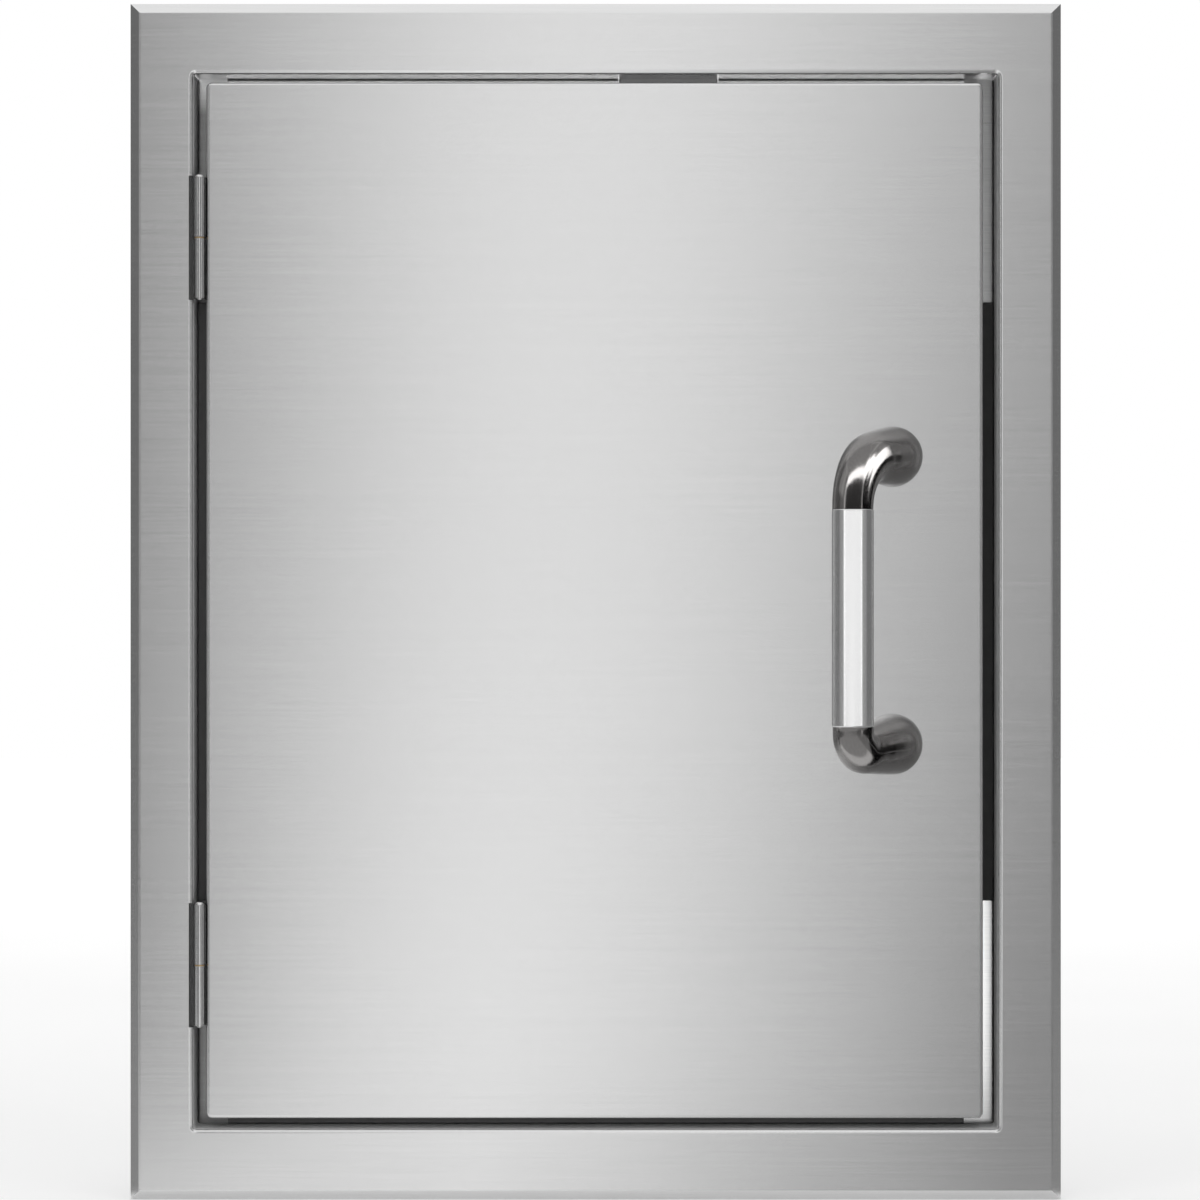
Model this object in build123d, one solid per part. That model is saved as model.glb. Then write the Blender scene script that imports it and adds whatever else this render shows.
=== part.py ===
from build123d import *

import math
import os

# Stainless access door for an outdoor kitchen: a bevelled frame in a wall cut-out, a hinged
# double-skinned door and a cranked pull handle.
# Sizes are in millimetres. X points right, Y points into the wall and Z points up.
# The origin is the centre of the frame, on the plane of the wall.

# Frame
FRAME_WIDTH = 432.0
FRAME_HEIGHT = 555.0
SIDE_BORDER = 29.5  # face of the frame beside the opening
END_BORDER = 33.0  # face of the frame above and below the opening
FRAME_PROUD = 9.0  # how far the face stands in front of the wall
FRAME_BEVEL = 4.5  # sloped edge round the outside of the frame
BEVEL_BEND = 1.5  # outside of the fold from the face to the bevel
FRAME_SHEET = 1.2
FOLD_RADIUS = 2.0  # outside of the fold from the face into the opening
OPENING_CORNER = 1.6  # corner radius of the opening
WALL_LIP = 10.0  # hem that lies on the wall
RETURN_CLEARANCE = 0.2  # between the end of the frame's inner return and the door stops

# Jamb plates behind the frame, with the holes for the wall screws
JAMB_SHEET = 1.2
JAMB_LAP = 5.0  # lap in front of the wall plane, where the jamb is welded to the frame
JAMB_DEPTH = 45.0
WALL_SCREW_RADIUS = 2.6
WALL_SCREW_INSET_SIDE = 94.5  # from the ends of the opening, on the side plates
WALL_SCREW_INSET_END = 76.5  # from the sides of the opening, on the end plates

# Door stops: folded angles on the jamb
STOP_SHEET = 1.2
STOP_BEND = 1.0  # inside bend radius
STOP_REACH = 14.0  # how far the flange comes in from the opening's edge
STOP_LEG = 13.0

# Rubber bumper strips on the door stops
BUMPER_SHEET = 1.6
BUMPER_CLEARANCE = 0.4  # between the closed door and the strips
BUMPER_MARGIN = 0.4  # between a strip and the edges of its flange
BUMPER_ROUND = 0.6
BUMPER_INSET = 104.5  # from the ends of the opening to the ends of a side strip

# Door
HINGE_GAP = 6.0
LATCH_GAP = 7.0
TOP_GAP = 4.0
BOTTOM_GAP = 5.0
DOOR_THICKNESS = 18.0
DOOR_SHEET = 1.0
DOOR_EDGE_RADIUS = 1.6
DOOR_CORNER_RADIUS = 2.6
LINER_SHEET = 1.0
LINER_DEPTH = 12.0
LINER_EDGE_RADIUS = 1.4
LINER_FIT = 0.15  # between the liner and the inside of the door skin

# Hinges: a frame leaf with the lower knuckle, a door leaf with the upper one, and a pin
HINGE_INSET = 76.0  # from the ends of the opening to the middle of a hinge
BARREL_LENGTH = 56.0
BARREL_CLEARANCE = 0.75  # beside the barrel, in the gap
LEAF_SHEET = 1.1
LEAF_MARGIN = 3.0  # from the leaf's back edge to the back of the door
PIN_FIT = 0.05
PIN_FOOT = 0.8  # end of the pin below the barrel
PIN_HEAD_HEIGHT = 1.6
HINGE_WASHER = 0.6
AXIAL_PLAY = 0.1
KNUCKLE_GAP = 0.5  # from a knuckle to the other leaf
NOTCH_WIDTH = 2.0  # relief cut in the frame's fold beside the barrel
NOTCH_MARGIN = 0.8

# Rivets
RIVET_RADIUS = 1.6
RIVET_FIT = 0.05
RIVET_HEAD_RADIUS = 2.8
RIVET_HEAD_HEIGHT = 0.7
RIVET_TAIL_RADIUS = 2.4
RIVET_TAIL = 0.9
LEAF_RIVET_PITCH = 18.0
LEAF_RIVETS = 3

# Handle: a straight grip between two horn-shaped elbows, which lean towards the hinges
HANDLE_INSET = 42.5  # from the free edge of the door to the middle of the feet
HANDLE_REACH = 47.0  # from the door's face to the axis of the grip
HANDLE_OFFSET = 21.0  # of the grip towards the hinges
HANDLE_SAG = 2.5  # of the arms, from the feet to the grip
UPPER_RISE = 25.5  # from the top of the grip to the middle of the upper foot
LOWER_DROP = 9.5  # from the bottom of the grip to the middle of the lower foot
GRIP_RADIUS = 9.5
GRIP_LENGTH = 98.0
GRIP_EDGE_RADIUS = 0.6
FOOT_RADIUS = 14.0
FOOT_RISE = 10.0  # straight out from the door, before the arm leans
FOOT_BEND = 18.0
COLLAR_RADIUS = 9.3  # end of the elbow at the grip
COLLAR_NECK = 0.4  # straight end of the elbow at the grip
ELBOW_SECTIONS = 14
SPIGOT_RADIUS = 7.2
SPIGOT_LENGTH = 14.0
SPIGOT_FIT = 0.05
HANDLE_SCREW_RADIUS = 2.5
HANDLE_SCREW_FIT = 0.05
HANDLE_SCREW_GRIP = 9.0  # of the screw in the foot
HANDLE_SCREW_HEAD_RADIUS = 4.8
HANDLE_SCREW_HEAD_HEIGHT = 3.2
HANDLE_WASHER_RADIUS = 6.5
HANDLE_WASHER_SHEET = 1.0
DOUBLER_SHEET = 2.0
DOUBLER_WIDTH = 36.0
DOUBLER_MARGIN = 18.0  # past the screws, at each end
DOUBLER_CORNER = 4.0
PLUG_RADIUS = 8.0
PLUG_FLANGE = 2.0
PLUG_SHEET = 1.0
PLUG_FIT = 0.1
PLUG_SKIRT = 3.0

# Magnetic catch at the head of the frame, and its strike plate on the door
CATCH_X = 34.0
CATCH_LENGTH = 46.0
CATCH_WALL = 1.2
CATCH_CLEARANCE = 0.5  # between the housing and its notch in the door stop
CATCH_GAP = 0.3  # between the poles and the strike plate
CATCH_FIT = 0.1
CATCH_EDGE_RADIUS = 0.8
MAGNET_LENGTH = 26.0
MAGNET_HEIGHT = 4.0
MAGNET_RECESS = 1.0
POLE_SHEET = 1.5
CATCH_SCREW_RADIUS = 1.5
CATCH_SCREW_FIT = 0.05
CATCH_SCREW_SPACING = 36.0
CATCH_SCREW_HEAD_RADIUS = 2.8
CATCH_SCREW_HEAD_HEIGHT = 1.4
CATCH_SCREW_END = 1.5  # past the jamb
STRIKE_SHEET = 1.5
STRIKE_HEIGHT = 12.0
STRIKE_EDGE = 1.5  # from the top of the door
STRIKE_CORNER = 2.0
STRIKE_RIVET_SPACING = 32.0

# Opening of the frame and the planes that the pieces meet at
OPENING_WIDTH = FRAME_WIDTH - 2 * SIDE_BORDER
OPENING_HEIGHT = FRAME_HEIGHT - 2 * END_BORDER
OPENING_X = OPENING_WIDTH / 2
OPENING_Z = OPENING_HEIGHT / 2
FACE_Y = -FRAME_PROUD
DOOR_BACK_Y = FACE_Y + DOOR_THICKNESS
STOP_Y = DOOR_BACK_Y + BUMPER_CLEARANCE + BUMPER_SHEET
RETURN_Y = STOP_Y - RETURN_CLEARANCE
JAMB_X = OPENING_X + FRAME_SHEET
JAMB_Z = OPENING_Z + FRAME_SHEET
WALL_SCREW_Y = (STOP_Y + STOP_LEG + JAMB_DEPTH) / 2

# Door outline
DOOR_LEFT = -OPENING_X + HINGE_GAP
DOOR_RIGHT = OPENING_X - LATCH_GAP
DOOR_TOP = OPENING_Z - TOP_GAP
DOOR_BOTTOM = -OPENING_Z + BOTTOM_GAP
DOOR_WIDTH = DOOR_RIGHT - DOOR_LEFT
DOOR_HEIGHT = DOOR_TOP - DOOR_BOTTOM
DOOR_X = (DOOR_LEFT + DOOR_RIGHT) / 2
DOOR_Z = (DOOR_TOP + DOOR_BOTTOM) / 2

# Hinge axis, in the plane of the face and in the middle of the gap
HINGE_X = -OPENING_X + HINGE_GAP / 2
HINGE_Y = FACE_Y
HINGE_HEIGHTS = {"lower": HINGE_INSET - OPENING_Z, "upper": OPENING_Z - HINGE_INSET}
KNUCKLE_RADIUS = HINGE_GAP / 2 - BARREL_CLEARANCE
PIN_RADIUS = KNUCKLE_RADIUS - LEAF_SHEET - PIN_FIT
LEAF_BACK_Y = DOOR_BACK_Y - LEAF_MARGIN
LEAF_RIVET_Y = (HINGE_Y + KNUCKLE_RADIUS + LEAF_BACK_Y) / 2
LINER_X = DOOR_LEFT + DOOR_SHEET + LINER_FIT

# Handle places
HANDLE_X = DOOR_RIGHT - HANDLE_INSET
HANDLE_SPACING = GRIP_LENGTH + UPPER_RISE + LOWER_DROP
HANDLE_FEET = [DOOR_Z - HANDLE_SPACING / 2, DOOR_Z + HANDLE_SPACING / 2]
GRIP_X = HANDLE_X - HANDLE_OFFSET
GRIP_Y = FACE_Y - HANDLE_REACH
GRIP_BOTTOM = HANDLE_FEET[0] + LOWER_DROP
GRIP_TOP = HANDLE_FEET[1] - UPPER_RISE
DOUBLER_Y = FACE_Y + DOOR_SHEET
HANDLE_WASHER_Y = DOUBLER_Y + DOUBLER_SHEET
HANDLE_SCREW_Y = HANDLE_WASHER_Y + HANDLE_WASHER_SHEET
SCREW_HOLE_RADIUS = HANDLE_SCREW_RADIUS + HANDLE_SCREW_FIT

# Catch places
CATCH_BOTTOM = OPENING_Z - STOP_REACH
CATCH_BACK_Y = STOP_Y + STOP_LEG
CATCH_SCREW_Y = STOP_Y + STOP_LEG / 2
CATCH_SCREWS_X = [CATCH_X - CATCH_SCREW_SPACING / 2, CATCH_X + CATCH_SCREW_SPACING / 2]
MAGNET_Z = CATCH_BOTTOM + CATCH_WALL + CATCH_FIT + POLE_SHEET + MAGNET_HEIGHT / 2
POLE_Y = DOOR_BACK_Y + STRIKE_SHEET + CATCH_GAP
STRIKE_Z = DOOR_TOP - STRIKE_EDGE - STRIKE_HEIGHT / 2
STRIKE_RIVETS_X = [CATCH_X - STRIKE_RIVET_SPACING / 2, CATCH_X + STRIKE_RIVET_SPACING / 2]

# Turns that point a fastener's head, made along +Z, another way
HEAD_RIGHT = Rot(0, 90, 0)
HEAD_LEFT = Rot(0, -90, 0)
HEAD_BACK = Rot(-90, 0, 0)
HEAD_DOWN = Rot(180, 0, 0)


def slab(width, height, front, back, corner=0.0, x=0.0, z=0.0):
    """Upright block between two depths, its outline centred on x and z in the front view."""
    outline = RectangleRounded(width, height, corner) if corner else Rectangle(width, height)
    return extrude(Plane.XZ.offset(-back) * Pos(x, z) * outline, back - front)


def block(low, high):
    """Box between two opposite corners."""
    size = Vector(*high) - Vector(*low)
    return Pos(*low) * Box(*size, align=(Align.MIN, Align.MIN, Align.MIN))


def rod(radius, start, end):
    """Round bar between two points."""
    line = Vector(*end) - Vector(*start)
    return extrude(Plane(origin=start, z_dir=line) * Circle(radius), line.length)


def headed_pin(radius, length, head_radius, head_height):
    """Pin down from z = 0, under a domed head."""
    dome = TangentArc((0, head_height), (head_radius, 0), tangent=(1, 0))
    side = Polyline((head_radius, 0), (radius, 0), (radius, -length), (0, -length), (0, head_height))
    return revolve(Plane.XZ * make_face([dome, side]), Axis.Z)


def rivet(stack):
    """Round-head rivet through a stack of sheets, with its formed tail."""
    tail = rod(RIVET_TAIL_RADIUS, (0, 0, -stack), (0, 0, -stack - RIVET_TAIL))
    return headed_pin(RIVET_RADIUS, stack, RIVET_HEAD_RADIUS, RIVET_HEAD_HEIGHT) + tail


def leaf_rivet_places():
    """Depth and height of every rivet in a hinge leaf."""
    for middle in HINGE_HEIGHTS.values():
        for index in range(LEAF_RIVETS):
            yield LEAF_RIVET_Y, middle + (index - (LEAF_RIVETS - 1) / 2) * LEAF_RIVET_PITCH


def leaf_rivet_holes(left, right):
    """Cutters for the rivet holes in the sheets between two planes across X."""
    radius = RIVET_RADIUS + RIVET_FIT
    return [rod(radius, (left, y, z), (right, y, z)) for y, z in leaf_rivet_places()]


def bezel():
    """Bevelled frame, hemmed on the wall and folded back into the opening, from one sheet."""
    inner_bevel = FRAME_BEVEL - FRAME_SHEET * (2 - math.sqrt(2))
    outer = slab(FRAME_WIDTH, FRAME_HEIGHT, FACE_Y, 0)
    outer = chamfer(outer.faces().sort_by(Axis.Y)[0].edges(), FRAME_BEVEL)
    outer = fillet(outer.faces().sort_by(Axis.Y)[0].edges(), BEVEL_BEND)
    hollow = slab(
        FRAME_WIDTH - 2 * FRAME_SHEET, FRAME_HEIGHT - 2 * FRAME_SHEET, FACE_Y + FRAME_SHEET, -FRAME_SHEET
    )
    hollow = chamfer(hollow.faces().sort_by(Axis.Y)[0].edges(), inner_bevel)
    inside_lip = slab(FRAME_WIDTH - 2 * WALL_LIP, FRAME_HEIGHT - 2 * WALL_LIP, -FRAME_SHEET, 0)
    inner_return = slab(2 * JAMB_X, 2 * JAMB_Z, FACE_Y, RETURN_Y, OPENING_CORNER + FRAME_SHEET)
    opening = slab(OPENING_WIDTH, OPENING_HEIGHT, FACE_Y, RETURN_Y, OPENING_CORNER)
    sheet = outer - hollow - inside_lip + inner_return - opening
    face = sheet.faces().filter_by(Axis.Y).sort_by(Axis.Y)[0]
    sheet = fillet(face.inner_wires()[0].edges(), FOLD_RADIUS)
    under_face = sheet.faces().filter_by(Axis.Y).sort_by(Axis.Y)[1]
    sheet = fillet(under_face.inner_wires()[0].edges(), FOLD_RADIUS - FRAME_SHEET)
    for middle in HINGE_HEIGHTS.values():
        half = BARREL_LENGTH / 2 + NOTCH_MARGIN
        sheet -= block(
            (-OPENING_X - NOTCH_WIDTH, FACE_Y, middle - half),
            (-OPENING_X, FACE_Y + KNUCKLE_RADIUS + KNUCKLE_GAP, middle + half),
        )
    return sheet - leaf_rivet_holes(-JAMB_X, -OPENING_X)


def jamb_side():
    """Left jamb plate, with the holes for the hinge rivets left out."""
    plate = block(
        (-JAMB_X - JAMB_SHEET, -JAMB_LAP, -JAMB_Z - JAMB_SHEET), (-JAMB_X, JAMB_DEPTH, JAMB_Z + JAMB_SHEET)
    )
    for z in (WALL_SCREW_INSET_SIDE - OPENING_Z, OPENING_Z - WALL_SCREW_INSET_SIDE):
        plate -= rod(WALL_SCREW_RADIUS, (-JAMB_X - JAMB_SHEET, WALL_SCREW_Y, z), (-JAMB_X, WALL_SCREW_Y, z))
    return plate


def jamb_end():
    """Top jamb plate, between the two side plates."""
    plate = block((-JAMB_X, -JAMB_LAP, JAMB_Z), (JAMB_X, JAMB_DEPTH, JAMB_Z + JAMB_SHEET))
    for x in (WALL_SCREW_INSET_END - OPENING_X, OPENING_X - WALL_SCREW_INSET_END):
        plate -= rod(WALL_SCREW_RADIUS, (x, WALL_SCREW_Y, JAMB_Z), (x, WALL_SCREW_Y, JAMB_Z + JAMB_SHEET))
    return plate


def stop_angle(length):
    """Folded angle from the corner at the origin: flange along X, leg along Y, length along Z."""
    reach = STOP_REACH + FRAME_SHEET
    corner = (Align.MIN, Align.MIN)
    outside = Rectangle(reach, STOP_LEG, align=corner)
    inside = Pos(STOP_SHEET, STOP_SHEET) * Rectangle(reach, STOP_LEG, align=corner)
    outside = fillet(outside.vertices().sort_by_distance((0, 0, 0))[0], STOP_BEND + STOP_SHEET)
    inside = fillet(inside.vertices().sort_by_distance((0, 0, 0))[0], STOP_BEND)
    return extrude(outside - inside, length)


def stop_side():
    """Left door stop, the full height of the jamb."""
    return Pos(-JAMB_X, STOP_Y, -JAMB_Z) * stop_angle(2 * JAMB_Z)


def stop_end():
    """Top door stop, between the flanges of the side stops."""
    half = OPENING_X - STOP_REACH
    return Pos(-half, STOP_Y, JAMB_Z) * Rot(0, 90, 0) * stop_angle(2 * half)


def stop_top():
    """Top door stop, with the flange cut away for the catch and holes for its screws."""
    half = CATCH_LENGTH / 2 + CATCH_CLEARANCE
    angle = stop_end() - block(
        (CATCH_X - half, STOP_Y, CATCH_BOTTOM),
        (CATCH_X + half, STOP_Y + STOP_SHEET + STOP_BEND, JAMB_Z - STOP_SHEET),
    )
    return angle - catch_screw_holes(JAMB_Z - STOP_SHEET, JAMB_Z)


def bumper_strip(length, x, z):
    """Upright rubber strip on the front of a stop flange, rounded towards the door."""
    width = STOP_REACH - 2 * BUMPER_MARGIN
    strip = slab(width, length, STOP_Y - BUMPER_SHEET, STOP_Y, x=x, z=z)
    return fillet(strip.faces().sort_by(Axis.Y)[0].edges(), BUMPER_ROUND)


def bumper_bottom():
    """Rubber strip along the bottom stop, between the side flanges."""
    length = OPENING_WIDTH - 2 * (STOP_REACH + BUMPER_MARGIN)
    width = STOP_REACH - 2 * BUMPER_MARGIN
    strip = slab(length, width, STOP_Y - BUMPER_SHEET, STOP_Y, z=-OPENING_Z + STOP_REACH / 2)
    return fillet(strip.faces().sort_by(Axis.Y)[0].edges(), BUMPER_ROUND)


def hinge_leaf(middle, plate_left, knuckle_low, knuckle_high):
    """Hinge leaf with one knuckle, its plate cut back beside the other leaf's knuckle."""
    plate_right = plate_left + LEAF_SHEET
    low = middle - BARREL_LENGTH / 2
    high = middle + BARREL_LENGTH / 2
    clear_y = HINGE_Y + KNUCKLE_RADIUS + KNUCKLE_GAP
    plate = block((plate_left, clear_y, low), (plate_right, LEAF_BACK_Y, high))
    plate += block((plate_left, HINGE_Y, knuckle_low), (plate_right, clear_y, knuckle_high))
    bottom = (HINGE_X, HINGE_Y, knuckle_low)
    top = (HINGE_X, HINGE_Y, knuckle_high)
    leaf = plate + rod(KNUCKLE_RADIUS, bottom, top) - rod(PIN_RADIUS + PIN_FIT, bottom, top)
    return leaf - leaf_rivet_holes(plate_left, plate_right)


def hinge_frame_leaf(middle):
    """Leaf on the frame, with the lower knuckle, which carries the washer."""
    return hinge_leaf(middle, -OPENING_X, middle - BARREL_LENGTH / 2, middle - HINGE_WASHER / 2)


def hinge_door_leaf(middle):
    """Leaf on the door's edge, with the upper knuckle."""
    knuckle_low = middle + HINGE_WASHER / 2 + AXIAL_PLAY
    return hinge_leaf(middle, DOOR_LEFT - LEAF_SHEET, knuckle_low, middle + BARREL_LENGTH / 2)


def hinge_pin(middle):
    """Pin down through both knuckles, with a domed head over the upper one."""
    length = BARREL_LENGTH + AXIAL_PLAY + PIN_FOOT
    top = middle + BARREL_LENGTH / 2 + AXIAL_PLAY
    return Pos(HINGE_X, HINGE_Y, top) * headed_pin(PIN_RADIUS, length, KNUCKLE_RADIUS, PIN_HEAD_HEIGHT)


def hinge_washers():
    """Washer between the knuckles of each hinge."""
    washers = []
    for middle in HINGE_HEIGHTS.values():
        bottom = (HINGE_X, HINGE_Y, middle - HINGE_WASHER / 2)
        top = (HINGE_X, HINGE_Y, middle + HINGE_WASHER / 2)
        washers.append(rod(KNUCKLE_RADIUS, bottom, top) - rod(PIN_RADIUS + PIN_FIT, bottom, top))
    return washers


def frame_rivets():
    """Rivets through the frame leaves, the frame's return and the jamb."""
    stack = LEAF_SHEET + FRAME_SHEET + JAMB_SHEET
    head = -OPENING_X + LEAF_SHEET
    return [Pos(head, y, z) * HEAD_RIGHT * rivet(stack) for y, z in leaf_rivet_places()]


def door_rivets():
    """Rivets through the door leaves, the door skin and the liner."""
    stack = LEAF_SHEET + DOOR_SHEET + LINER_FIT + LINER_SHEET
    head = DOOR_LEFT - LEAF_SHEET
    return [Pos(head, y, z) * HEAD_LEFT * rivet(stack) for y, z in leaf_rivet_places()]


def door_skin():
    """Door front as a pan: a flat face, rounded folds and returns to the full thickness."""
    outer = slab(DOOR_WIDTH, DOOR_HEIGHT, FACE_Y, DOOR_BACK_Y, DOOR_CORNER_RADIUS, DOOR_X, DOOR_Z)
    outer = fillet(outer.faces().sort_by(Axis.Y)[0].edges(), DOOR_EDGE_RADIUS)
    inner = slab(
        DOOR_WIDTH - 2 * DOOR_SHEET,
        DOOR_HEIGHT - 2 * DOOR_SHEET,
        FACE_Y + DOOR_SHEET,
        DOOR_BACK_Y,
        DOOR_CORNER_RADIUS - DOOR_SHEET,
        DOOR_X,
        DOOR_Z,
    )
    inner = fillet(inner.faces().sort_by(Axis.Y)[0].edges(), DOOR_EDGE_RADIUS - DOOR_SHEET)
    pan = outer - inner - leaf_rivet_holes(DOOR_LEFT, DOOR_LEFT + DOOR_SHEET)
    return pan - handle_holes(SCREW_HOLE_RADIUS, FACE_Y, FACE_Y + DOOR_SHEET)


def door_liner():
    """Back of the door as a pan inside the skin, with access holes to the handle screws."""
    width = DOOR_WIDTH - 2 * (DOOR_SHEET + LINER_FIT)
    height = DOOR_HEIGHT - 2 * (DOOR_SHEET + LINER_FIT)
    corner = DOOR_CORNER_RADIUS - DOOR_SHEET - LINER_FIT
    front = DOOR_BACK_Y - LINER_DEPTH
    outer = slab(width, height, front, DOOR_BACK_Y, corner, DOOR_X, DOOR_Z)
    outer = fillet(outer.faces().sort_by(Axis.Y)[-1].edges(), LINER_EDGE_RADIUS)
    inner = slab(
        width - 2 * LINER_SHEET,
        height - 2 * LINER_SHEET,
        front,
        DOOR_BACK_Y - LINER_SHEET,
        corner - LINER_SHEET,
        DOOR_X,
        DOOR_Z,
    )
    inner = fillet(inner.faces().sort_by(Axis.Y)[-1].edges(), LINER_EDGE_RADIUS - LINER_SHEET)
    pan = outer - inner - leaf_rivet_holes(LINER_X, LINER_X + LINER_SHEET)
    pan -= handle_holes(PLUG_RADIUS, DOOR_BACK_Y - LINER_SHEET, DOOR_BACK_Y)
    return pan - strike_holes(DOOR_BACK_Y - LINER_SHEET, DOOR_BACK_Y)


def handle_holes(radius, front, back):
    """Cutters on the axes of the handle screws, between two depths."""
    return [rod(radius, (HANDLE_X, front, z), (HANDLE_X, back, z)) for z in HANDLE_FEET]


def elbow_path(foot_z, grip_end):
    """Middle line of an elbow from the door to the grip, bent as gently as its end run allows."""
    foot = Vector(HANDLE_X, FACE_Y, foot_z)
    knee = foot - Vector(0, FOOT_RISE, 0)
    corner = Vector(GRIP_X, GRIP_Y, foot_z - HANDLE_SAG)
    shoulder = Vector(GRIP_X, GRIP_Y, grip_end)
    end_run = shoulder - corner
    turn = math.radians(end_run.get_angle(corner - knee))
    bend = (end_run.length - COLLAR_NECK) / math.tan(turn / 2)
    return FilletPolyline(foot, knee, corner, shoulder, radius=[FOOT_BEND, bend])


def handle_elbow(foot_z, grip_end, spigot_end):
    """Elbow that narrows smoothly from its foot on the door to the grip, with a spigot inside the grip."""
    path = elbow_path(foot_z, grip_end)
    sections = []
    for index in range(ELBOW_SECTIONS + 1):
        share = index / ELBOW_SECTIONS
        narrowing = share**2 * (3 - 2 * share)
        radius = FOOT_RADIUS - (FOOT_RADIUS - COLLAR_RADIUS) * narrowing
        section = Plane(origin=path @ share, x_dir=(1, 0, 0), z_dir=path % share)
        sections.append(section * Circle(radius))
    shoulder = (GRIP_X, GRIP_Y, grip_end)
    spigot = rod(SPIGOT_RADIUS, shoulder, (GRIP_X, GRIP_Y, spigot_end))
    return loft(sections) + spigot - handle_holes(SCREW_HOLE_RADIUS, FACE_Y, FACE_Y - HANDLE_SCREW_GRIP)


def handle_grip():
    """Round sleeve between the elbows, over their spigots."""
    bottom = (GRIP_X, GRIP_Y, GRIP_BOTTOM)
    top = (GRIP_X, GRIP_Y, GRIP_TOP)
    bar = rod(GRIP_RADIUS, bottom, top)
    bar = fillet(bar.edges().filter_by(GeomType.CIRCLE), GRIP_EDGE_RADIUS)
    return bar - rod(SPIGOT_RADIUS + SPIGOT_FIT, bottom, top)


def handle_doubler():
    """Stiff plate behind the door skin, which the handle screws pull against."""
    height = HANDLE_SPACING + 2 * DOUBLER_MARGIN
    plate = slab(DOUBLER_WIDTH, height, DOUBLER_Y, HANDLE_WASHER_Y, DOUBLER_CORNER, HANDLE_X, DOOR_Z)
    return plate - handle_holes(SCREW_HOLE_RADIUS, DOUBLER_Y, HANDLE_WASHER_Y)


def handle_washers():
    """Washer under the head of each handle screw."""
    washers = handle_holes(HANDLE_WASHER_RADIUS, HANDLE_WASHER_Y, HANDLE_SCREW_Y)
    holes = handle_holes(SCREW_HOLE_RADIUS, HANDLE_WASHER_Y, HANDLE_SCREW_Y)
    return [washer - hole for washer, hole in zip(washers, holes)]


def handle_screws():
    """Screws from inside the door into the handle's feet."""
    length = HANDLE_SCREW_Y - FACE_Y + HANDLE_SCREW_GRIP - HANDLE_SCREW_FIT
    screw = headed_pin(HANDLE_SCREW_RADIUS, length, HANDLE_SCREW_HEAD_RADIUS, HANDLE_SCREW_HEAD_HEIGHT)
    return [Pos(HANDLE_X, HANDLE_SCREW_Y, z) * HEAD_BACK * screw for z in HANDLE_FEET]


def liner_plugs():
    """Plastic caps in the liner's access holes: a flange outside and a hollow skirt inside."""
    flange_y = DOOR_BACK_Y + PLUG_SHEET
    skirt_y = DOOR_BACK_Y - LINER_SHEET - PLUG_SKIRT
    skirt_radius = PLUG_RADIUS - PLUG_FIT
    flanges = handle_holes(PLUG_RADIUS + PLUG_FLANGE, DOOR_BACK_Y, flange_y)
    skirts = handle_holes(skirt_radius, skirt_y, DOOR_BACK_Y)
    hollows = handle_holes(skirt_radius - PLUG_SHEET, skirt_y, DOOR_BACK_Y)
    return [flange + (skirt - hollow) for flange, skirt, hollow in zip(flanges, skirts, hollows)]


def catch_screw_holes(low, high):
    """Cutters on the axes of the catch screws, between two heights."""
    radius = CATCH_SCREW_RADIUS + CATCH_SCREW_FIT
    return [rod(radius, (x, CATCH_SCREW_Y, low), (x, CATCH_SCREW_Y, high)) for x in CATCH_SCREWS_X]


def catch_housing():
    """Plastic housing of the catch, open towards the door for the magnet and its poles."""
    half = CATCH_LENGTH / 2
    top = JAMB_Z - STOP_SHEET
    housing = block((CATCH_X - half, STOP_Y, CATCH_BOTTOM), (CATCH_X + half, CATCH_BACK_Y, top))
    housing = fillet(housing.edges().filter_by(Axis.Z), CATCH_EDGE_RADIUS)
    half_pocket = MAGNET_LENGTH / 2 + CATCH_FIT
    half_stack = MAGNET_HEIGHT / 2 + POLE_SHEET + CATCH_FIT
    housing -= block(
        (CATCH_X - half_pocket, STOP_Y, MAGNET_Z - half_stack),
        (CATCH_X + half_pocket, CATCH_BACK_Y - CATCH_WALL, MAGNET_Z + half_stack),
    )
    for x in CATCH_SCREWS_X:
        seat = CATCH_BOTTOM + CATCH_SCREW_HEAD_HEIGHT
        housing -= rod(
            CATCH_SCREW_HEAD_RADIUS + CATCH_FIT, (x, CATCH_SCREW_Y, CATCH_BOTTOM), (x, CATCH_SCREW_Y, seat)
        )
    return housing - catch_screw_holes(CATCH_BOTTOM, top)


def catch_layer(front, low, high):
    """One flat bar of the stack in the catch's pocket."""
    half = MAGNET_LENGTH / 2
    return block((CATCH_X - half, front, low), (CATCH_X + half, CATCH_BACK_Y - CATCH_WALL, high))


def catch_magnet():
    """Magnet between the two poles, a little behind their edges."""
    half = MAGNET_HEIGHT / 2
    return catch_layer(STOP_Y + MAGNET_RECESS, MAGNET_Z - half, MAGNET_Z + half)


def catch_poles():
    """Steel plates above and below the magnet, which pull the strike plate."""
    inner = MAGNET_HEIGHT / 2
    outer = inner + POLE_SHEET
    lower = catch_layer(POLE_Y, MAGNET_Z - outer, MAGNET_Z - inner)
    return [lower, catch_layer(POLE_Y, MAGNET_Z + inner, MAGNET_Z + outer)]


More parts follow.
